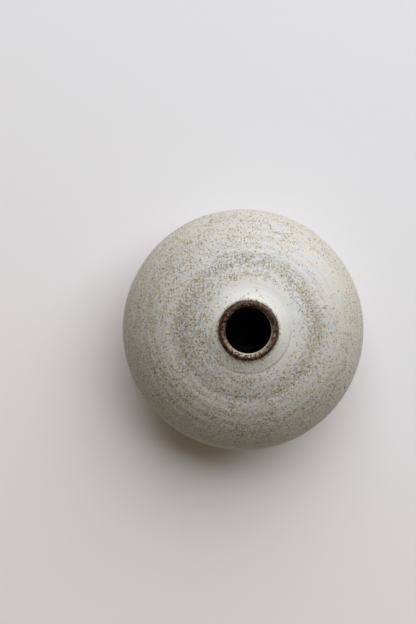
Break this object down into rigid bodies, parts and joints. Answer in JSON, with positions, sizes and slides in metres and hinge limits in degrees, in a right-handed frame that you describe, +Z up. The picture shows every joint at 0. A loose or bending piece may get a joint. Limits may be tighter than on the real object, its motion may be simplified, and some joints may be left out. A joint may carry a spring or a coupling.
{
  "type": "bud vase",
  "caption": "Squat round stoneware bud vase with a small raised lip, speckled pale glaze, brown lip band and a turned foot ring.",
  "frame": {"origin": "on the resting plane, at the centre of the foot ring", "axes": "+Z up along the axis the vase is turned about, out of the mouth; X and Y are free, since the vase is round"},
  "size_m": [0.11, 0.11, 0.058],
  "materials": {
    "bare_stoneware": "unglazed fired stoneware, warm buff brown, fine turning marks",
    "oatmeal_glaze": "semi-matte oatmeal white glaze, dense fine iron speckle in throwing rings",
    "iron_band": "satin dark brown iron glaze, mottled with milky grey and lilac",
    "liner_glaze": "satin dark brown iron glaze over the whole inside"
  },
  "bodies": {
    "root": {"clay_body": "bare_stoneware", "outer_glaze": "oatmeal_glaze", "lip_band": "iron_band", "liner_glaze": "liner_glaze"}
  },
  "joints": []
}
